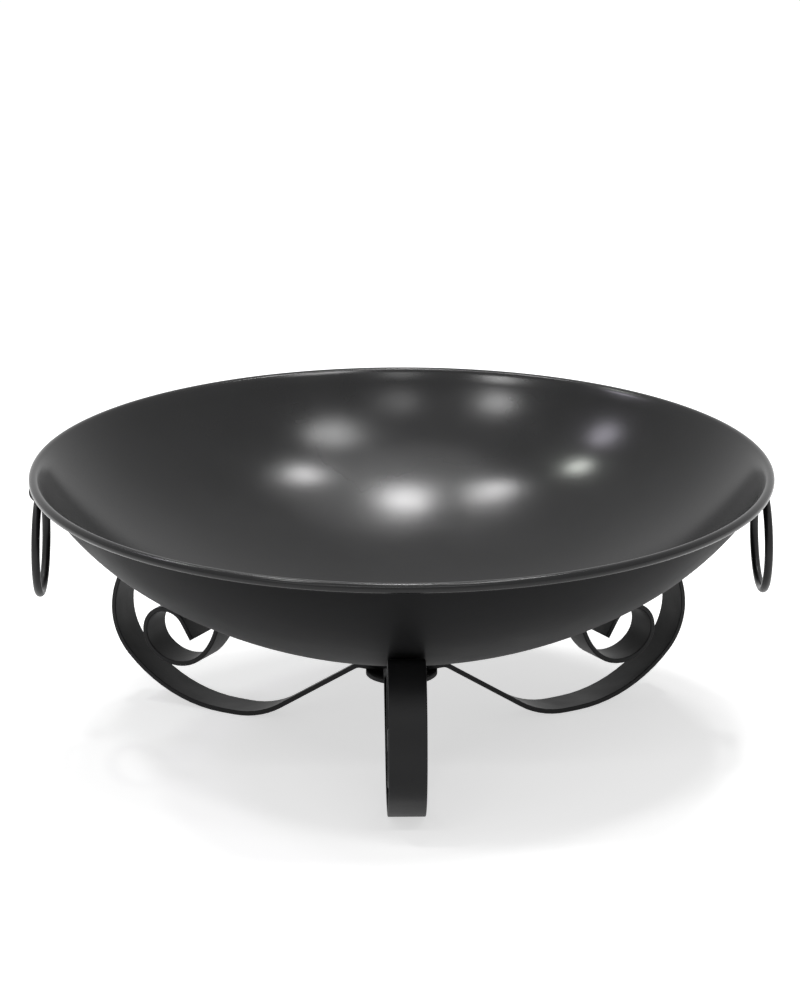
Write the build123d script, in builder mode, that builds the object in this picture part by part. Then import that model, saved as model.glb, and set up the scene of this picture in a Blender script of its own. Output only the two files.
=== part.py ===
from build123d import *
import math
import os

# Fire bowl on a stand of three scroll legs, with two ring handles.
# Millimetres. +Z is up, the floor is Z = 0, the bowl's axis is the Z axis and -Y is the front.

# Bowl
BOWL_DIAMETER = 600.0       # over the rolled rim
BOWL_DEPTH = 145.0          # rim plane to the underside of the dish
BOWL_SHEET = 2.5            # pressed steel sheet
DISH_RADIUS = 400.0         # outside radius of the shallow middle of the dish
DISH_ANGLE = 33.0           # half angle that the shallow middle spans
RIM_ROLL = 8.0              # outside diameter of the rolled rim
RIM_WIRE = 4.8              # wire inside the roll
WIRE_CLEARANCE = 0.1        # round the wire
WALL_END = (1.0, 5.0)       # outside of the wall meets the roll this far inboard and below the rim

# Stand
BAR_WIDTH = 30.0            # flat bar of the legs
BAR_THICKNESS = 4.0
HUB_RADIUS = 29.0           # round plate that joins the three legs
HUB_THICKNESS = 4.0
HUB_CHAMFER = 0.5           # round the plate's two outer edges
TAB_START = 10.0            # the legs' level tabs lie on the plate between these radii
TAB_END = 30.0
BOLT_CIRCLE_RADIUS = 18.0
BOLT_DIAMETER = 6.0
BOLT_HOLE = 6.6
BOLT_HEAD_DIAMETER = 11.0
BOLT_HEAD_HEIGHT = 3.3
WASHER_DIAMETER = 12.0
WASHER_THICKNESS = 1.6
NUT_ACROSS_FLATS = 10.0
NUT_HEIGHT = 5.0
THREAD_END = 2.0            # bolt length that shows below the nut

# Leg: one bar bent from the hub out to its foot and round the scroll (centre-line radii)
LEG_SLOPE = 33.0            # fall of the straight run from the hub to the foot
SHOULDER_BEND = 12.0
HEEL_BEND = 80.0
FOOT_CENTRE = 156.0         # the foot's distance from the bowl's axis
FOOT_FLAT = 12.0
SCROLL_BENDS = [124.0, 52.0, 65.0, 50.0, 42.0, 55.0, 55.0, 34.0, 33.0, 22.0, 20.0, 20.0]
BEND_TURN = 45.0            # each bend of the scroll turns the bar this far
SEAT_BEND = 4               # the scroll bend that carries the bowl
LAST_BEND = 19.0
LAST_TURN = 58.0
SCROLL_TIP = 16.0           # straight tip of the scroll
SEAT_GAP = 0.3              # paint-thin gap between the bowl and the scrolls

# Ring handles
RING_BAR = 7.0
RING_RADIUS = 41.5          # to the middle of the bar
RING_PLANE = 291.0          # distance of the hanging ring from the bowl's axis
RING_DROP = 17.5            # rim plane to the middle of the ring's top bar
RING_TURN = 4.0             # each ring hangs a little turned in its eye, front limb outward
EYE_BAR = 5.0
EYE_CLEARANCE = 0.7         # ring bar to the inside of its eye
EYE_ROOT = 262.0            # the eye's legs run in to here before the wall cuts them off

LEG_ANGLES = {"leg_front": -90.0, "leg_right": 30.0, "leg_left": 150.0}
SIDES = {"right": 1, "left": -1}

os.makedirs("parts", exist_ok=True)


def save(part, name):
    part.label = name
    export_step(part, f"parts/{name}.step")


# Height of the hub, from the foot back up the straight run to the level tab
slope = math.radians(LEG_SLOPE)
heel_out = FOOT_CENTRE - FOOT_FLAT / 2 - HEEL_BEND * math.sin(slope)
heel_height = BAR_THICKNESS / 2 + HEEL_BEND * (1 - math.cos(slope))
run_across = heel_out - TAB_END - SHOULDER_BEND * math.sin(slope)
run_length = run_across / math.cos(slope)
tab_height = heel_height + run_across * math.tan(slope) + SHOULDER_BEND * (1 - math.cos(slope))


def bar_line(inward):
    """A line along the bar, this far to the inward side of its middle, as edges from tab to tip."""
    tab = Line((TAB_START, tab_height + inward), (TAB_END, tab_height + inward))
    shoulder = JernArc(tab @ 1, tab % 1, SHOULDER_BEND + inward, -LEG_SLOPE)
    run = Line(shoulder @ 1, shoulder @ 1 + (shoulder % 1) * run_length)
    heel = JernArc(run @ 1, run % 1, HEEL_BEND - inward, LEG_SLOPE)
    foot = Line(heel @ 1, heel @ 1 + (heel % 1) * FOOT_FLAT)
    edges = [tab, shoulder, run, heel, foot]
    for bend in SCROLL_BENDS:
        edges.append(JernArc(edges[-1] @ 1, edges[-1] % 1, bend - inward, BEND_TURN))
    edges.append(JernArc(edges[-1] @ 1, edges[-1] % 1, LAST_BEND - inward, LAST_TURN))
    edges.append(Line(edges[-1] @ 1, edges[-1] @ 1 + (edges[-1] % 1) * SCROLL_TIP))
    return edges


def leg_plane(angle):
    """Upright plane through the bowl's axis: its x points outward at the angle, its y points up."""
    a = math.radians(angle)
    outward = (math.cos(a), math.sin(a), 0)
    return Plane(origin=(0, 0, 0), x_dir=outward, z_dir=(math.sin(a), -math.cos(a), 0))


def hub_spots(radius):
    """Places round the hub, one on each leg's tab."""
    turns = [math.radians(angle) for angle in LEG_ANGLES.values()]
    return [(radius * math.cos(a), radius * math.sin(a)) for a in turns]


# Legs
for name, angle in LEG_ANGLES.items():
    with BuildPart() as leg:
        with BuildSketch(leg_plane(angle)):
            with BuildLine():
                outer = bar_line(-BAR_THICKNESS / 2)
                inner = bar_line(BAR_THICKNESS / 2)
                Line(outer[0] @ 0, inner[0] @ 0)
                Line(outer[-1] @ 1, inner[-1] @ 1)
            make_face()
        extrude(amount=BAR_WIDTH / 2, both=True)
        with BuildSketch(Plane.XY.offset(tab_height)):
            with Locations(*hub_spots(BOLT_CIRCLE_RADIUS)):
                Circle(BOLT_HOLE / 2)
        extrude(amount=BAR_THICKNESS, both=True, mode=Mode.SUBTRACT)
    save(leg.part, name)

# Hub plate under the tabs, with its bolts, washers and nuts
plate_top = tab_height - BAR_THICKNESS / 2
plate_bottom = plate_top - HUB_THICKNESS
head_bottom = tab_height + BAR_THICKNESS / 2
nut_top = plate_bottom - WASHER_THICKNESS
bolt_end = nut_top - NUT_HEIGHT - THREAD_END

with BuildPart() as hub_plate:
    with BuildSketch(Plane.XY.offset(plate_bottom)):
        Circle(HUB_RADIUS)
        with Locations(*hub_spots(BOLT_CIRCLE_RADIUS)):
            Circle(BOLT_HOLE / 2, mode=Mode.SUBTRACT)
    extrude(amount=HUB_THICKNESS)
    plate_rims = hub_plate.edges().filter_by(GeomType.CIRCLE).sort_by(SortBy.RADIUS)[-2:]
    chamfer(plate_rims, length=HUB_CHAMFER)
save(hub_plate.part, "hub_plate")

with BuildPart() as hub_bolts:
    with BuildSketch(Plane.XY.offset(bolt_end)):
        with Locations(*hub_spots(BOLT_CIRCLE_RADIUS)):
            Circle(BOLT_DIAMETER / 2)
    extrude(amount=head_bottom - bolt_end)
    with BuildSketch(Plane.XY.offset(head_bottom)):
        with Locations(*hub_spots(BOLT_CIRCLE_RADIUS)):
            Circle(BOLT_HEAD_DIAMETER / 2)
    extrude(amount=BOLT_HEAD_HEIGHT)
    fillet(hub_bolts.edges().group_by(Axis.Z)[-1], radius=BOLT_HEAD_HEIGHT / 2)
save(hub_bolts.part, "hub_bolts")

with BuildPart() as hub_washers:
    with BuildSketch(Plane.XY.offset(nut_top)):
        with Locations(*hub_spots(BOLT_CIRCLE_RADIUS)):
            Circle(WASHER_DIAMETER / 2)
            Circle(BOLT_HOLE / 2, mode=Mode.SUBTRACT)
    extrude(amount=WASHER_THICKNESS)
save(hub_washers.part, "hub_washers")

with BuildPart() as hub_nuts:
    with BuildSketch(Plane.XY.offset(nut_top - NUT_HEIGHT)):
        with Locations(*hub_spots(BOLT_CIRCLE_RADIUS)):
            RegularPolygon(NUT_ACROSS_FLATS / 2, 6, major_radius=False)
            Circle(BOLT_DIAMETER / 2, mode=Mode.SUBTRACT)
    extrude(amount=NUT_HEIGHT)
save(hub_nuts.part, "hub_nuts")

# The bowl rests on the three scrolls: its height is where the dish touches the seat bend
with BuildLine() as middle_line:
    seat = bar_line(0)[-2 - len(SCROLL_BENDS) + SEAT_BEND]
seat_reach = DISH_RADIUS + SCROLL_BENDS[SEAT_BEND] + BAR_THICKNESS / 2 + SEAT_GAP
dish_centre = seat.arc_center.Y + math.sqrt(seat_reach**2 - seat.arc_center.X**2)
rim_height = dish_centre - DISH_RADIUS + BOWL_DEPTH
roll_centre = (BOWL_DIAMETER / 2 - RIM_ROLL / 2, rim_height - RIM_ROLL / 2)
print(f"rim height {rim_height:.1f}, tab height {tab_height:.1f}")

# Steeper wall, one arc from the shallow middle to the rim roll
dish = math.radians(DISH_ANGLE)
wall_start = Vector(DISH_RADIUS * math.sin(dish), dish_centre - DISH_RADIUS * math.cos(dish))
wall_end = Vector(BOWL_DIAMETER / 2 - RIM_ROLL + WALL_END[0], rim_height - WALL_END[1])
chord = wall_end - wall_start
to_centre = Vector(-math.sin(dish), math.cos(dish))
wall_radius = chord.length**2 / (2 * chord.dot(to_centre))
wall_turn = 2 * math.degrees(math.asin(chord.length / (2 * wall_radius)))


def dish_line(inward):
    """Half section of the bowl's sheet, this far inside its outer face: middle and wall."""
    middle = JernArc((0, dish_centre - DISH_RADIUS + inward), (1, 0), DISH_RADIUS - inward, DISH_ANGLE)
    wall = JernArc(middle @ 1, middle % 1, wall_radius - inward, wall_turn)
    return middle, wall


roll_middle = Vector(*roll_centre)

with BuildPart() as bowl_shell:
    with BuildSketch(Plane.XZ):
        with BuildLine():
            outer_middle, outer_wall = dish_line(0)
            inner_middle, inner_wall = dish_line(BOWL_SHEET)
            Line(outer_middle @ 0, inner_middle @ 0)
            Line(outer_wall @ 1, inner_wall @ 1)
        make_face()
        # The inside of the wall runs straight on to the top of the roll
        across = roll_middle - inner_wall @ 1
        lift = math.degrees(math.asin(RIM_ROLL / 2 / across.length))
        reach = math.sqrt(across.length**2 - (RIM_ROLL / 2) ** 2)
        roll_touch = inner_wall @ 1 + across.rotate(Axis.Z, lift).normalized() * reach
        with BuildLine():
            Polyline(inner_wall @ 1, roll_touch, roll_middle, outer_wall @ 1, close=True)
        make_face()
        with Locations(roll_centre):
            Circle(RIM_ROLL / 2)
            Circle(RIM_WIRE / 2 + WIRE_CLEARANCE, mode=Mode.SUBTRACT)
    revolve(axis=Axis.Z)
save(bowl_shell.part, "bowl_shell")

with BuildPart() as rim_wire:
    with BuildSketch(Plane.XZ):
        with Locations(roll_centre):
            Circle(RIM_WIRE / 2)
    revolve(axis=Axis.Z)
save(rim_wire.part, "rim_wire")

# Ring handles, each hanging from a bent-rod eye that is welded under the rim
eye_height = rim_height - RING_DROP
eye_radius = RING_BAR / 2 + EYE_CLEARANCE + EYE_BAR / 2

with BuildPart() as dish_block:
    with BuildSketch(Plane.XZ):
        with BuildLine():
            block_middle, block_wall = dish_line(0)
            Polyline(block_wall @ 1, (0, (block_wall @ 1).Y), block_middle @ 0)
        make_face()
    revolve(axis=Axis.Z)

for side, sign in SIDES.items():
    with BuildPart() as ring_eye:
        with BuildLine(Plane.XZ):
            eye_top = eye_height + eye_radius
            upper = Line((sign * EYE_ROOT, eye_top), (sign * RING_PLANE, eye_top))
            bow = JernArc(upper @ 1, upper % 1, eye_radius, -180 * sign)
            Line(bow @ 1, (sign * EYE_ROOT, eye_height - eye_radius))
        with BuildSketch(Plane.YZ.offset(sign * EYE_ROOT)):
            with Locations((0, eye_top)):
                Circle(EYE_BAR / 2)
        sweep()
        add(dish_block.part, mode=Mode.SUBTRACT)
    save(ring_eye.part, f"ring_eye_{side}")

    # The ring is bent in an upright plane whose normal points outward
    turn = math.radians(RING_TURN) * sign
    ring_normal = (sign * math.cos(turn), sign * math.sin(turn), 0)
    bar_plane = Plane(
        origin=(sign * RING_PLANE, 0, eye_height),
        x_dir=ring_normal,
        z_dir=(math.sin(turn), -math.cos(turn), 0),
    )
    with BuildPart() as ring:
        with BuildSketch(bar_plane):
            Circle(RING_BAR / 2)
        revolve(axis=Axis((sign * RING_PLANE, 0, eye_height - RING_RADIUS), ring_normal))
    save(ring.part, f"ring_{side}")
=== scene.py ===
# %% [markdown]
# # A fire bowl on three scroll legs
# The object is a wide pressed-steel dish with a rolled rim. It rests loose on a stand of three flat
# bars, each bent round into a scroll, and a ring handle hangs at either side. Everything is coated
# satin black. The measured solids come in as the frame. Sheet, bars and rings are then made again
# with rounded edges and smooth faces, because a satin coat shows every facet, and each finish gets
# its own nodes.

# %% Load the frame
import math

import bmesh
import bpy
from mathutils import Matrix, Vector


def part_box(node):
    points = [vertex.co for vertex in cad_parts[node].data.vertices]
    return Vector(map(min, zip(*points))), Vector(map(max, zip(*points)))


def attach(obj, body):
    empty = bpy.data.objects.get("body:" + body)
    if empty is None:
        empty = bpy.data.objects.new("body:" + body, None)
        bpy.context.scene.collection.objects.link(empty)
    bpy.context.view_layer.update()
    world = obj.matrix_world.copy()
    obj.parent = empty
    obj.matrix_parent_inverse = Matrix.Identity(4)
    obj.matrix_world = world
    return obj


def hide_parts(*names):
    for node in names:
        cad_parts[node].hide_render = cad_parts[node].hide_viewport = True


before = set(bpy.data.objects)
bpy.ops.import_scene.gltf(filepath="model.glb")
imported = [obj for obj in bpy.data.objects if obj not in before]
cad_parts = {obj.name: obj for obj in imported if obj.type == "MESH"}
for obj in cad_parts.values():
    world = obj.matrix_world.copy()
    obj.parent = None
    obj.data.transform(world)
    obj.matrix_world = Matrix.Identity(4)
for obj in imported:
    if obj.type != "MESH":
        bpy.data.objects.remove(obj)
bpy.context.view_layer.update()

# %% [markdown]
# ## The camera
# A product picture like this is taken from far off with a long lens, so the near and far rim are
# almost the same width. The camera stands five metres away, a little above the bowl, and a hair to
# the left of straight in front.

# %% Place the camera
EYE_DISTANCE = 5.0
EYE_HEIGHT_ANGLE = math.radians(17.3)
EYE_AZIMUTH = math.radians(-91.1)
LENS = 223.3
PICTURE = (800.0, 1000.0)
AIM = Vector((-0.0013, 0.0, 0.2040))
toward_eye = Vector((
    math.cos(EYE_HEIGHT_ANGLE) * math.cos(EYE_AZIMUTH),
    math.cos(EYE_HEIGHT_ANGLE) * math.sin(EYE_AZIMUTH),
    math.sin(EYE_HEIGHT_ANGLE),
))
camera_data = bpy.data.cameras.new("camera")
camera_data.lens = LENS
focal_pixels = LENS / camera_data.sensor_width * max(PICTURE)
camera = bpy.data.objects.new("camera", camera_data)
camera.location = AIM + toward_eye * EYE_DISTANCE
camera.rotation_euler = (-toward_eye).to_track_quat("-Z", "Y").to_euler()
bpy.context.collection.objects.link(camera)
bpy.context.scene.camera = camera
bpy.context.scene.view_settings.view_transform = "Standard"
print("camera at", [round(v, 3) for v in camera.location])

# %% [markdown]
# ## The sizes that the pieces share
# The sheet is one arc across the shallow middle and a tighter arc up the wall, which ends in a roll
# round a wire. The same few lengths that describe the solids are enough to draw each section again
# here, in metres.

# %% Sizes of the dish
MM = 0.001
DISH_RADIUS = 400.0 * MM
SHEET = 2.5 * MM
DISH_ANGLE = math.radians(33.0)
RIM_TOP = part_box("bowl_shell")[1].z
RIM_REACH = 300.0 * MM
ROLL = 4.0 * MM
WALL_END_INBOARD = 7.0 * MM
WALL_END_DROP = 5.0 * MM
DISH_CENTRE = Vector((0.0, 0.0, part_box("bowl_shell")[0].z + DISH_RADIUS))
roll_centre = Vector((RIM_REACH - ROLL, 0.0, RIM_TOP - ROLL))
wall_foot = DISH_CENTRE + Vector((math.sin(DISH_ANGLE), 0.0, -math.cos(DISH_ANGLE))) * DISH_RADIUS
wall_head = Vector((RIM_REACH - WALL_END_INBOARD, 0.0, RIM_TOP - WALL_END_DROP))
foot_normal = (DISH_CENTRE - wall_foot).normalized()
wall_chord = wall_head - wall_foot
wall_radius = wall_chord.length_squared / (2.0 * wall_chord.dot(foot_normal))
wall_centre = wall_foot + foot_normal * wall_radius
print("rim", round(RIM_TOP / MM, 1), "wall radius", round(wall_radius / MM, 1))

# %% [markdown]
# ## Satin black coats
# The finish looks like a satin powder coat. Such powder melts to an even skin with a faint orange-
# peel surface, a little duller in some places than in others, and it is slightly thinner and lighter
# where hands and logs rub it. Three sizes of noise give this: one wide for the dullness, one of a few
# millimetres for the peel and one very fine for the grain. All read the object's own coordinates, so
# the pattern stays on the steel when a piece moves.

# %% A helper for coats
def add_node(tree, kind, place=(0, 0), **settings):
    made = tree.nodes.new(kind)
    made.location = place
    for key, value in settings.items():
        if key in made.inputs:
            made.inputs[key].default_value = value
        else:
            setattr(made, key, value)
    return made


def satin_coat(name, colour, dull, shine, peel, wave=0.0, wave_scale=7.0, dust=0.0):
    """A powder coat: its colour, how dull it is from place to place, and how deep its peel and dents are."""
    coat = bpy.data.materials.new(name)
    coat.use_nodes = True
    tree = coat.node_tree
    shader = tree.nodes["Principled BSDF"]
    shader.inputs["Specular IOR Level"].default_value = shine
    where = add_node(tree, "ShaderNodeTexCoord", (-1400, 0))
    cloud = add_node(tree, "ShaderNodeTexNoise", (-1150, 300), Scale=9.0, Detail=4.0, Roughness=0.6)
    speck = add_node(tree, "ShaderNodeTexNoise", (-1150, 60), Scale=650.0, Detail=3.0, Roughness=0.7)
    skin = add_node(tree, "ShaderNodeTexNoise", (-1150, -180), Scale=330.0, Detail=2.0, Roughness=0.45)
    dent = add_node(tree, "ShaderNodeTexNoise", (-1150, -420), Scale=wave_scale, Detail=1.0, Roughness=0.4)
    for noise in (cloud, speck, skin, dent):
        tree.links.new(where.outputs["Object"], noise.inputs["Vector"])
    tint = add_node(tree, "ShaderNodeValToRGB", (-850, 300))
    tint.color_ramp.elements[0].position = 0.30
    tint.color_ramp.elements[0].color = [c * 0.75 for c in colour] + [1.0]
    tint.color_ramp.elements[1].position = 0.72
    tint.color_ramp.elements[1].color = [c * 1.25 for c in colour] + [1.0]
    tree.links.new(cloud.outputs["Fac"], tint.inputs["Fac"])
    flecks = add_node(tree, "ShaderNodeValToRGB", (-850, 60))
    flecks.color_ramp.elements[0].position = 0.66
    flecks.color_ramp.elements[0].color = (0.0, 0.0, 0.0, 1.0)
    flecks.color_ramp.elements[1].position = 0.78
    flecks.color_ramp.elements[1].color = (dust, dust, dust * 0.96, 1.0)
    tree.links.new(speck.outputs["Fac"], flecks.inputs["Fac"])
    dusty = add_node(tree, "ShaderNodeMix", (-550, 220), data_type="RGBA", blend_type="ADD")
    dusty.inputs["Factor"].default_value = 1.0
    tree.links.new(tint.outputs["Color"], dusty.inputs["A"])
    tree.links.new(flecks.outputs["Color"], dusty.inputs["B"])
    tree.links.new(dusty.outputs["Result"], shader.inputs["Base Color"])
    dullness = add_node(tree, "ShaderNodeMapRange", (-550, -20))
    dullness.inputs["From Min"].default_value = 0.3
    dullness.inputs["From Max"].default_value = 0.7
    dullness.inputs["To Min"].default_value = dull[0]
    dullness.inputs["To Max"].default_value = dull[1]
    tree.links.new(cloud.outputs["Fac"], dullness.inputs["Value"])
    tree.links.new(dullness.outputs["Result"], shader.inputs["Roughness"])
    peel_bump = add_node(tree, "ShaderNodeBump", (-550, -280), Strength=1.0, Distance=peel)
    tree.links.new(skin.outputs["Fac"], peel_bump.inputs["Height"])
    dent_bump = add_node(tree, "ShaderNodeBump", (-300, -280), Strength=1.0, Distance=wave)
    tree.links.new(dent.outputs["Fac"], dent_bump.inputs["Height"])
    tree.links.new(peel_bump.outputs["Normal"], dent_bump.inputs["Normal"])
    tree.links.new(dent_bump.outputs["Normal"], shader.inputs["Normal"])
    return coat


# %% The coats
dish_coat = satin_coat(
    "dish_coat", (0.008, 0.008, 0.0084), (0.17, 0.22), 0.27, 0.00002, wave=0.0006, wave_scale=9.0, dust=0.006
)
# The underside coat is painted shade: a duller, less shiny copy of the dish paint, set so the underside looks
# as dark as it does in shade.
underside_shade_coat = satin_coat(
    "underside_shade_coat", (0.011, 0.011, 0.0115), (0.44, 0.54), 0.05, 0.00004, wave=0.0006, wave_scale=9.0
)
bar_coat = satin_coat(
    "bar_coat", (0.0075, 0.0075, 0.008), (0.42, 0.56), 0.22, 0.00006, wave=0.0005, wave_scale=40.0
)
ring_coat = satin_coat(
    "ring_coat", (0.008, 0.008, 0.0085), (0.34, 0.46), 0.30, 0.00005, wave=0.0003, wave_scale=60.0
)
weld_coat = satin_coat(
    "weld_coat", (0.009, 0.009, 0.009), (0.38, 0.50), 0.30, 0.00025, wave=0.0008, wave_scale=420.0
)
hub_coat = satin_coat(
    "hub_coat", (0.009, 0.009, 0.0095), (0.44, 0.58), 0.22, 0.00005, wave=0.0003, wave_scale=30.0
)
print("coats", [m.name for m in (dish_coat, underside_shade_coat, bar_coat, ring_coat, weld_coat, hub_coat)])

# %% [markdown]
# ## Bare and blackened steel
# The wire in the rim is bright drawn steel that nobody sees again once the rim is rolled. The bolts,
# washers and nuts are blackened, so they are a little more metallic than the paint round them. Fine
# scratches along one direction come from noise that is stretched by a Mapping node.

# %% Steel for the wire and the fasteners
def drawn_steel(name, colour, dull, stretch):
    steel = bpy.data.materials.new(name)
    steel.use_nodes = True
    tree = steel.node_tree
    shader = tree.nodes["Principled BSDF"]
    shader.inputs["Metallic"].default_value = 1.0
    where = add_node(tree, "ShaderNodeTexCoord", (-1200, 0))
    pull = add_node(tree, "ShaderNodeMapping", (-1000, 0))
    pull.inputs["Scale"].default_value = stretch
    lines = add_node(tree, "ShaderNodeTexNoise", (-800, 0), Scale=120.0, Detail=5.0, Roughness=0.65)
    tree.links.new(where.outputs["Object"], pull.inputs["Vector"])
    tree.links.new(pull.outputs["Vector"], lines.inputs["Vector"])
    tone = add_node(tree, "ShaderNodeValToRGB", (-550, 150))
    tone.color_ramp.elements[0].color = [c * 0.7 for c in colour] + [1.0]
    tone.color_ramp.elements[1].color = [min(1.0, c * 1.2) for c in colour] + [1.0]
    tree.links.new(lines.outputs["Fac"], tone.inputs["Fac"])
    tree.links.new(tone.outputs["Color"], shader.inputs["Base Color"])
    dullness = add_node(tree, "ShaderNodeMapRange", (-550, -100))
    dullness.inputs["To Min"].default_value = dull[0]
    dullness.inputs["To Max"].default_value = dull[1]
    tree.links.new(lines.outputs["Fac"], dullness.inputs["Value"])
    tree.links.new(dullness.outputs["Result"], shader.inputs["Roughness"])
    relief = add_node(tree, "ShaderNodeBump", (-300, -250), Strength=0.5, Distance=0.00003)
    tree.links.new(lines.outputs["Fac"], relief.inputs["Height"])
    tree.links.new(relief.outputs["Normal"], shader.inputs["Normal"])
    return steel


wire_steel = drawn_steel("wire_steel", (0.55, 0.55, 0.56), (0.25, 0.45), (1.0, 1.0, 12.0))
black_fastener = drawn_steel("black_fastener", (0.07, 0.07, 0.075), (0.35, 0.55), (1.0, 1.0, 6.0))
print("steels", wire_steel.name, black_fastener.name)

# %% [markdown]
# ## Helpers for the mesh work
# Each piece below starts as a few vertices that are spun and extruded. A line is spun about a bend's
# centre to make the bend, as a bar is on a bending jig, and a section is spun once round an axis to
# make a dish or a ring.

# %% Turn a mesh into a piece
def settle(bm, name, body, finish, slot, *nodes):
    """Closes the mesh, turns its faces outward, gives it its finish and its body, and hides the solids it
    stands for.
    """
    bmesh.ops.remove_doubles(bm, verts=bm.verts, dist=0.002 * MM)
    bmesh.ops.recalc_face_normals(bm, faces=bm.faces)
    open_edges = sum(not edge.is_manifold for edge in bm.edges)
    mesh = bpy.data.meshes.new(name)
    bm.to_mesh(mesh)
    bm.free()
    mesh.shade_smooth()
    mesh.materials.append(finish)
    piece = bpy.data.objects.new(name, mesh)
    bpy.context.collection.objects.link(piece)
    if nodes:
        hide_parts(*nodes)
    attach(piece, body)
    print(name, "faces", len(mesh.polygons), "open edges", open_edges)
    return piece


def last_of(geometry, kind):
    return [part for part in geometry if isinstance(part, kind)]


# %% [markdown]
# ## The dish
# One disc of sheet is pressed to a shallow middle and a steeper wall, and its edge is rolled round a
# wire. It could be a curve with a Screw modifier, but spinning a section keeps the true arcs, and 256
# steps leave no facets in the long soft reflections. The section is drawn by spinning one vertex
# about the centre of each arc in turn.

# %% Draw the dish's section and spin it
UP_TURN = Vector((0.0, -1.0, 0.0))


def spin_point(bm, point, centre, angle, steps):
    """Carries a vertex round a centre in the section's plane and leaves a line behind it."""
    made = bmesh.ops.spin(
        bm, geom=[point], cent=centre, axis=UP_TURN, dvec=(0, 0, 0), angle=angle, steps=steps, use_merge=False
    )
    return last_of(made["geom_last"], bmesh.types.BMVert)[0]


def run_to(bm, point, place):
    """Draws a straight line from a vertex to a place."""
    made = bmesh.ops.extrude_vert_indiv(bm, verts=[point])
    made["verts"][0].co = place
    return made["verts"][0]


def turn_between(centre, start, end):
    """The turn from start to end about a centre, upward from the outside being positive."""
    a = start - centre
    b = end - centre
    return math.atan2(a.x * b.z - a.z * b.x, a.x * b.x + a.z * b.z)


inner_foot = wall_foot + foot_normal * SHEET
head_normal = (wall_centre - wall_head).normalized()
inner_head = wall_head + head_normal * SHEET
wall_turn = turn_between(wall_centre, wall_foot, wall_head)
across = roll_centre - inner_head
reach = math.sqrt(across.length_squared - ROLL ** 2)
tilt = math.asin(ROLL / across.length)
touch_way = (Matrix.Rotation(tilt, 3, UP_TURN) @ across).normalized()
roll_touch = inner_head + touch_way * reach

# The outer wall stops where it meets the roll
gap = (roll_centre - wall_centre).length
bearing = math.acos((gap ** 2 + wall_radius ** 2 - ROLL ** 2) / (2.0 * gap * wall_radius))
to_roll = roll_centre - wall_centre
wall_stop = wall_centre + (Matrix.Rotation(-bearing, 3, UP_TURN) @ to_roll).normalized() * wall_radius
stop_turn = turn_between(wall_centre, wall_foot, wall_stop)
round_turn = turn_between(roll_centre, wall_stop, roll_touch) % math.tau
print("wall turns", round(math.degrees(stop_turn), 1), "roll turns", round(math.degrees(round_turn), 1))

section = bmesh.new()
tip = section.verts.new((0.0, 0.0, DISH_CENTRE.z - DISH_RADIUS))
tip = spin_point(section, tip, DISH_CENTRE, DISH_ANGLE, 26)
tip = spin_point(section, tip, wall_centre, stop_turn, 14)
tip = spin_point(section, tip, roll_centre, round_turn, 22)
tip = run_to(section, tip, inner_head)
tip = spin_point(section, tip, wall_centre, -wall_turn, 14)
tip = spin_point(section, tip, DISH_CENTRE, -DISH_ANGLE, 26)
for end in section.verts:
    if abs(end.co.x) < 0.01 * MM:
        end.co.x = 0.0
bmesh.ops.spin(
    section, geom=section.verts[:] + section.edges[:], cent=(0, 0, 0), axis=(0, 0, 1), dvec=(0, 0, 0),
    angle=math.tau, steps=256, use_merge=True,
)
dish = settle(section, "dish", "bowl", dish_coat, "black_steel", "bowl_shell")

# %% [markdown]
# ## A duller outside
# In the picture the underside looks evenly dark, while the inside is glossy. Whether the real paint
# differs there isn't known: this finish is matched. One mesh can carry two finishes, so every
# face of the wall that looks away from the bowl's middle takes the second one, and the roll keeps the
# first.

# %% Give the underside its coat of painted shade
# Painted shade: the faces under the dish take the duller copy of the paint, so they look as dark as the
# shaded underside.
dish.data.materials.append(underside_shade_coat)
under = 0
for face in dish.data.polygons:
    looks_out = face.normal.dot(DISH_CENTRE - face.center) < 0.0
    if looks_out and face.center.z < RIM_TOP - 2.0 * ROLL:
        face.material_index = 1
        under += 1
print("faces under the dish", under)

# %% [markdown]
# ## The scroll legs
# Each leg is one flat bar. A bending jig turns it down from the hub, up round the foot and then
# inward, tighter and tighter, to the tip of the scroll. Rolled bar never has sharp corners, and the
# thin bright line along a rounded edge is most of what shows of black steel. So the section is a
# rectangle with its corners bevelled, and each bend is a spin of the whole section, with the same
# radii as the solid.

# %% Sizes of the bar
BAR_WIDTH = 30.0 * MM
BAR_THICKNESS = 4.0 * MM
EDGE_ROUND = 0.9 * MM
TAB = (10.0 * MM, 30.0 * MM)
SLOPE = math.radians(33.0)
SHOULDER_BEND = 12.0 * MM
HEEL_BEND = 80.0 * MM
FOOT_CENTRE = 156.0 * MM
FOOT_FLAT = 12.0 * MM
SCROLL_BENDS = [r * MM for r in (124, 52, 65, 50, 42, 55, 55, 34, 33, 22, 20, 20)]
BEND_TURN = math.radians(45.0)
LAST_BEND = 19.0 * MM
LAST_TURN = math.radians(58.0)
SCROLL_TIP = 16.0 * MM
heel_out = FOOT_CENTRE - FOOT_FLAT / 2 - HEEL_BEND * math.sin(SLOPE)
run_across = heel_out - TAB[1] - SHOULDER_BEND * math.sin(SLOPE)
heel_height = BAR_THICKNESS / 2 + HEEL_BEND * (1 - math.cos(SLOPE))
tab_height = heel_height + run_across * math.tan(SLOPE) + SHOULDER_BEND * (1 - math.cos(SLOPE))
print("tab height", round(tab_height / MM, 1))


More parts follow.
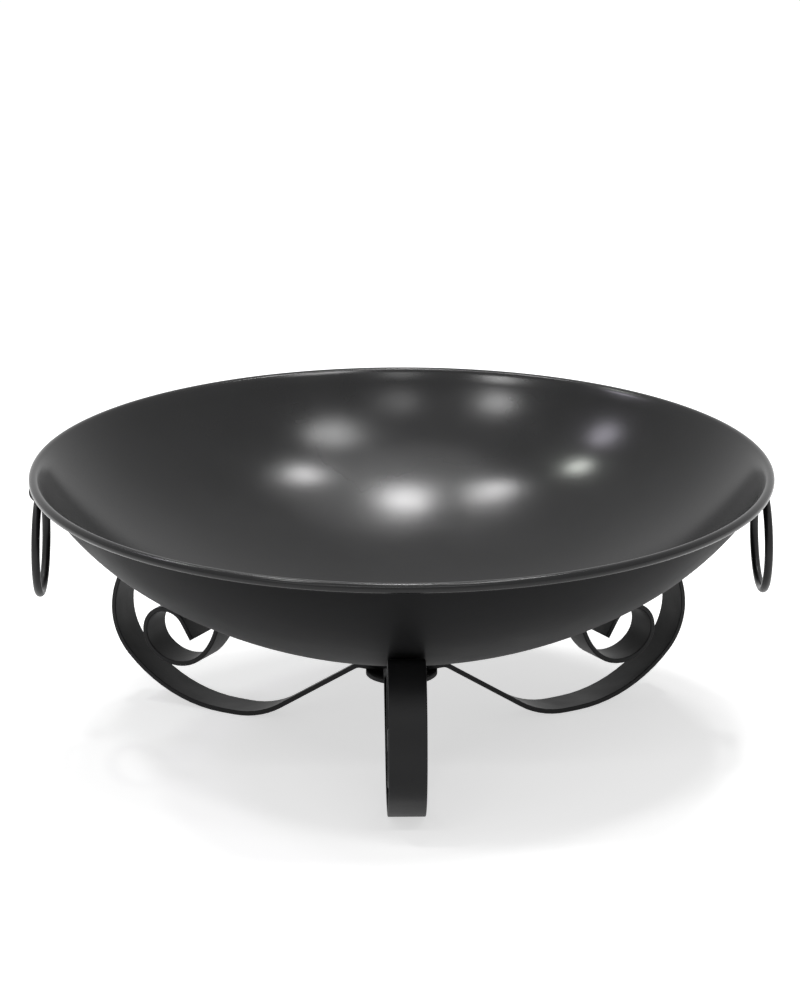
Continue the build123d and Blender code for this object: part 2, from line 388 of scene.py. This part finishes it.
# %% Bend a bar
def bar_section(bm):
    """The rounded end of the bar, standing at the start of the tab and facing along +X."""
    bmesh.ops.create_grid(bm, x_segments=1, y_segments=1, size=0.5)
    bmesh.ops.scale(bm, vec=(BAR_THICKNESS, BAR_WIDTH, 1.0), verts=bm.verts)
    bmesh.ops.bevel(
        bm, geom=bm.verts[:], offset=EDGE_ROUND, offset_type="OFFSET", segments=4, profile=0.5,
        affect="VERTICES", material=-1,
    )
    bmesh.ops.rotate(bm, verts=bm.verts, cent=(0, 0, 0), matrix=Matrix.Rotation(math.radians(90), 3, "Y"))
    bmesh.ops.translate(bm, verts=bm.verts, vec=(TAB[0], 0.0, tab_height))
    bmesh.ops.delete(bm, geom=bm.faces[:], context="FACES_ONLY")
    return bm.edges[:]


def push(bm, loop, place, heading, length, steps=1):
    """Carries the section straight on."""
    for _ in range(steps):
        made = bmesh.ops.extrude_edge_only(bm, edges=loop)["geom"]
        step = Vector((math.cos(heading), 0.0, math.sin(heading))) * (length / steps)
        bmesh.ops.translate(bm, verts=last_of(made, bmesh.types.BMVert), vec=step)
        loop = last_of(made, bmesh.types.BMEdge)
        loop = [edge for edge in loop if len(edge.link_faces) == 1]
        place = place + step
    return loop, place


def bend(bm, loop, place, heading, radius, turn):
    """Spins the section about the bend's centre, to the left of its heading for a positive turn."""
    side = 1.0 if turn > 0 else -1.0
    centre = place + Vector((-math.sin(heading), 0.0, math.cos(heading))) * radius * side
    steps = max(2, round(abs(math.degrees(turn)) / 4.5))
    geometry = loop + list({vert for edge in loop for vert in edge.verts})
    made = bmesh.ops.spin(
        bm, geom=geometry, cent=centre, axis=UP_TURN, dvec=(0, 0, 0), angle=turn, steps=steps, use_merge=False
    )
    loop = last_of(made["geom_last"], bmesh.types.BMEdge)
    place = centre + Matrix.Rotation(turn, 3, UP_TURN) @ (place - centre)
    return loop, place, heading + turn


# %% Make the three legs
def scroll_leg(name, angle):
    bm = bmesh.new()
    loop = bar_section(bm)
    place = Vector((TAB[0], 0.0, tab_height))
    loop, place = push(bm, loop, place, 0.0, TAB[1] - TAB[0])
    loop, place, heading = bend(bm, loop, place, 0.0, SHOULDER_BEND, -SLOPE)
    loop, place = push(bm, loop, place, heading, run_across / math.cos(SLOPE), 4)
    loop, place, heading = bend(bm, loop, place, heading, HEEL_BEND, SLOPE)
    loop, place = push(bm, loop, place, heading, FOOT_FLAT)
    for radius in SCROLL_BENDS:
        loop, place, heading = bend(bm, loop, place, heading, radius, BEND_TURN)
    loop, place, heading = bend(bm, loop, place, heading, LAST_BEND, LAST_TURN)
    loop, place = push(bm, loop, place, heading, SCROLL_TIP)
    bmesh.ops.holes_fill(bm, edges=[edge for edge in bm.edges if len(edge.link_faces) == 1], sides=0)
    bmesh.ops.rotate(bm, verts=bm.verts, cent=(0, 0, 0), matrix=Matrix.Rotation(math.radians(angle), 3, "Z"))
    leg = settle(bm, f"scroll_{name}", "stand", bar_coat, "black_steel", name)
    flat = leg.modifiers.new("even_faces", "WEIGHTED_NORMAL")
    flat.weight = 90
    return leg


for name, angle in (("leg_front", -90.0), ("leg_right", 30.0), ("leg_left", 150.0)):
    leg = scroll_leg(name, angle)
    low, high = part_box(name)
    print(name, "solid", [round((b - a) / MM, 1) for a, b in zip(low, high)])

# %% [markdown]
# ## The ring handles
# A ring is a length of round rod bent to a circle and butt welded. A torus from the Add menu would be
# the same shape, but spinning a circle of vertices puts it straight where it hangs, a few degrees
# turned in its eye.

# %% Spin the rings
RING_ROD = 3.5 * MM
RING_RADIUS = 41.5 * MM
RING_REACH = 291.0 * MM
RING_TURN = math.radians(4.0)
EYE_LEVEL = RIM_TOP - 17.5 * MM

for side, sign in (("right", 1.0), ("left", -1.0)):
    outward = Vector((sign * math.cos(RING_TURN), math.sin(RING_TURN), 0.0))
    along = Vector((math.sin(RING_TURN), -sign * math.cos(RING_TURN), 0.0))
    middle = Vector((sign * RING_REACH, 0.0, EYE_LEVEL - RING_RADIUS))
    ring = bmesh.new()
    bmesh.ops.create_circle(ring, segments=20, radius=RING_ROD)
    bmesh.ops.rotate(ring, verts=ring.verts, cent=(0, 0, 0), matrix=along.to_track_quat("Z", "Y").to_matrix())
    bmesh.ops.translate(ring, verts=ring.verts, vec=middle + Vector((0.0, 0.0, RING_RADIUS)))
    bmesh.ops.spin(
        ring, geom=ring.verts[:] + ring.edges[:], cent=middle, axis=outward, dvec=(0, 0, 0), angle=math.tau,
        steps=128, use_merge=True,
    )
    settle(ring, f"rod_ring_{side}", f"handle_{side}", ring_coat, "black_steel", f"ring_{side}")

# %% [markdown]
# ## The eyes and their welds
# Each ring hangs in a bent rod whose two ends are welded to the wall under the rim. The rod's solid
# is right as it is. A weld bead is a lumpy collar where rod and wall meet, so each is a small spun
# collar, pushed in and out along its length as the melt pool freezes in steps.

# %% Lay the weld beads
EYE_ROD = 2.5 * MM
EYE_BOW = 6.7 * MM
BEAD = 1.3 * MM
BEAD_RIPPLE = 0.05
RIPPLES = 9.0

for side, sign in (("right", 1.0), ("left", -1.0)):
    beads = bmesh.new()
    for level in (EYE_LEVEL + EYE_BOW, EYE_LEVEL - EYE_BOW):
        rise = level - wall_centre.z
        out = wall_centre.x + math.sqrt(wall_radius ** 2 - rise ** 2)
        normal = Vector((sign * (out - wall_centre.x), 0.0, rise)).normalized()
        collar = bmesh.new()
        bmesh.ops.create_circle(collar, segments=10, radius=BEAD)
        upright = Matrix.Rotation(math.radians(90), 3, "X")
        bmesh.ops.rotate(collar, verts=collar.verts, cent=(0, 0, 0), matrix=upright)
        bmesh.ops.translate(collar, verts=collar.verts, vec=(EYE_ROD + 0.3 * BEAD, 0.0, 0.0))
        bmesh.ops.spin(
            collar, geom=collar.verts[:] + collar.edges[:], cent=(0, 0, 0), axis=(0, 0, 1), dvec=(0, 0, 0),
            angle=math.tau, steps=40, use_merge=True,
        )
        bmesh.ops.remove_doubles(collar, verts=collar.verts, dist=0.002 * MM)
        for vert in collar.verts:
            step = 1.0 + BEAD_RIPPLE * math.sin(RIPPLES * math.atan2(vert.co.y, vert.co.x))
            bmesh.ops.scale(collar, vec=(step, step, 1.0), verts=[vert])
        off_the_wall = normal.to_track_quat("Z", "Y").to_matrix()
        bmesh.ops.rotate(collar, verts=collar.verts, cent=(0, 0, 0), matrix=off_the_wall)
        bmesh.ops.translate(collar, verts=collar.verts, vec=(sign * out, 0.0, level))
        collar_mesh = bpy.data.meshes.new("collar")
        collar.to_mesh(collar_mesh)
        collar.free()
        beads.from_mesh(collar_mesh)
        bpy.data.meshes.remove(collar_mesh)
    settle(beads, f"eye_weld_{side}", "bowl", weld_coat, "black_steel")

# %% [markdown]
# ## Finishes on the solids that stay
# The eyes, the hub plate, the wire and the fasteners keep their solids, because their shapes are
# already right. Each only gets its own finish in place of the plain one that it came with.

# %% Give the solids their finishes
finishes = {
    "ring_eye_right": ring_coat,
    "ring_eye_left": ring_coat,
    "hub_plate": hub_coat,
    "rim_wire": wire_steel,
    "hub_bolts": black_fastener,
    "hub_washers": black_fastener,
    "hub_nuts": black_fastener,
}
for name, finish in finishes.items():
    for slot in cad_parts[name].material_slots:
        slot.material = finish
    print(name, finish.name, len(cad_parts[name].material_slots))

# %% [markdown]
# ## Floor and light
# The picture has a plain white ground. A pale floor takes a soft shadow under the feet, and the world
# is white where the eye or a shiny surface sees it, but a quarter as bright where it lights things,
# so the lamps still give shape. The soft patches of light in the dish could be painted, but then they
# would stay put when the eye moves. Here each is the mirror image of a real lamp, hung where the
# inside of the dish reflects it to its place in the picture.

# %% Lay the floor
FLOOR_HALF = 9.0
ground = bmesh.new()
bmesh.ops.create_grid(ground, x_segments=1, y_segments=1, size=FLOOR_HALF)
bmesh.ops.translate(ground, verts=ground.verts, vec=(0.0, 0.0, -0.2 * MM))
floor_mesh = bpy.data.meshes.new("floor")
ground.to_mesh(floor_mesh)
ground.free()
floor = bpy.data.objects.new("floor", floor_mesh)
bpy.context.collection.objects.link(floor)
paper = bpy.data.materials.new("floor_paper")
paper.use_nodes = True
tree = paper.node_tree
shader = tree.nodes["Principled BSDF"]
shader.inputs["Base Color"].default_value = (0.86, 0.86, 0.86, 1.0)
shader.inputs["Roughness"].default_value = 0.9
shader.inputs["Specular IOR Level"].default_value = 0.0
seen = add_node(tree, "ShaderNodeLightPath", (-600, -200))
glossy_too = add_node(tree, "ShaderNodeMath", (-450, -150), operation="MAXIMUM")
clear_too = add_node(tree, "ShaderNodeMath", (-300, -200), operation="MAXIMUM")
glow = add_node(tree, "ShaderNodeMath", (-150, -200), operation="MULTIPLY")
glow.inputs[1].default_value = 0.60
tree.links.new(seen.outputs["Is Camera Ray"], glossy_too.inputs[0])
tree.links.new(seen.outputs["Is Glossy Ray"], glossy_too.inputs[1])
tree.links.new(glossy_too.outputs["Value"], clear_too.inputs[0])
tree.links.new(seen.outputs["Is Transmission Ray"], clear_too.inputs[1])
tree.links.new(clear_too.outputs["Value"], glow.inputs[0])
shader.inputs["Emission Color"].default_value = (1.0, 1.0, 1.0, 1.0)
tree.links.new(glow.outputs["Value"], shader.inputs["Emission Strength"])
floor_mesh.materials.append(paper)
print("floor", FLOOR_HALF * 2, "m square")

# %% Light the world
sky = bpy.data.worlds.new("studio")
bpy.context.scene.world = sky
sky.use_nodes = True
tree = sky.node_tree
ground_light = tree.nodes["Background"]
ground_light.inputs["Color"].default_value = (1.0, 1.0, 1.0, 1.0)
ray = add_node(tree, "ShaderNodeLightPath", (-900, 0))
either = add_node(tree, "ShaderNodeMath", (-650, 100), operation="MAXIMUM")
any_of = add_node(tree, "ShaderNodeMath", (-450, 0), operation="MAXIMUM")
level = add_node(tree, "ShaderNodeMapRange", (-250, 0))
level.inputs["To Min"].default_value = 0.25
level.inputs["To Max"].default_value = 1.0
tree.links.new(ray.outputs["Is Camera Ray"], either.inputs[0])
tree.links.new(ray.outputs["Is Glossy Ray"], either.inputs[1])
tree.links.new(either.outputs["Value"], any_of.inputs[0])
tree.links.new(ray.outputs["Is Transmission Ray"], any_of.inputs[1])
tree.links.new(any_of.outputs["Value"], level.inputs["Value"])
tree.links.new(level.outputs["Result"], ground_light.inputs["Strength"])


# %% Hang the lamps
def soft_lamp(name, place, aim, width, watts, colour=(1.0, 1.0, 1.0)):
    lamp_data = bpy.data.lights.new(name, "AREA")
    lamp_data.shape = "DISK"
    lamp_data.size = width
    lamp_data.energy = watts
    lamp_data.color = colour
    lamp = bpy.data.objects.new(name, lamp_data)
    lamp.location = place
    lamp.rotation_euler = (Vector(aim) - Vector(place)).to_track_quat("-Z", "Y").to_euler()
    bpy.context.collection.objects.link(lamp)
    return lamp


GLINT_DISTANCE = 2.4


def glint_place(x, y, distance):
    """Where a lamp hangs so that the inside of the dish mirrors it at this place in the picture."""
    aside = (x - PICTURE[0] / 2) / focal_pixels
    above = (PICTURE[1] / 2 - y) / focal_pixels
    look = camera.rotation_euler.to_matrix() @ Vector((aside, above, -1.0))
    look.normalize()
    hit = dish.ray_cast(camera.location, look)[1]
    across = Vector((hit.x, hit.y, 0.0))
    arc_centre = DISH_CENTRE
    if across.length > inner_foot.x:
        arc_centre = across.normalized() * wall_centre.x + Vector((0.0, 0.0, wall_centre.z))
    normal = (arc_centre - hit).normalized()
    return hit + (look - 2.0 * look.dot(normal) * normal) * distance, hit


bpy.context.view_layer.update()
soft_lamp("overhead", (0.3, 0.5, 2.6), (0.0, 0.0, 0.2), 1.3, 3.0)
soft_lamp("front_fill", (-1.6, -2.6, 1.6), (0.0, 0.0, 0.1), 1.4, 5.0)
STRIP_LENGTH = 2.4
STRIP_WIDTH = 0.12
strip = soft_lamp("front_strip", (0.0, -2.4, 2.2), (0.0, -0.28, 0.22), STRIP_LENGTH, 12.0)
strip.data.shape = "RECTANGLE"
strip.data.size_y = STRIP_WIDTH
GLINTS = {
    "ceiling_middle": (403, 500, 0.30, 12.0, (1.0, 1.0, 1.0)),
    "ceiling_left": (306, 475, 0.30, 8.5, (1.0, 1.0, 1.0)),
    "ceiling_far_left": (334, 434, 0.42, 9.0, (1.0, 1.0, 1.0)),
    "ceiling_right": (492, 490, 0.30, 8.0, (1.0, 1.0, 1.0)),
    "ceiling_far_right": (578, 467, 0.20, 4.5, (0.95, 1.0, 0.93)),
    "ceiling_edge": (604, 434, 0.28, 3.2, (0.92, 0.88, 1.0)),
    "ceiling_back": (496, 403, 0.30, 6.0, (1.0, 1.0, 1.0)),
    "ceiling_back_middle": (400, 403, 0.34, 2.0, (1.0, 1.0, 1.0)),
    "ceiling_halo": (420, 470, 1.0, 5.0, (1.0, 1.0, 1.0)),
}
for name, (x, y, width, watts, colour) in GLINTS.items():
    place, hit = glint_place(x, y, GLINT_DISTANCE)
    soft_lamp(name, place, hit, width, watts, colour)
    print(name, "at", [round(v, 2) for v in place], "mirrored at", [round(v, 3) for v in hit])
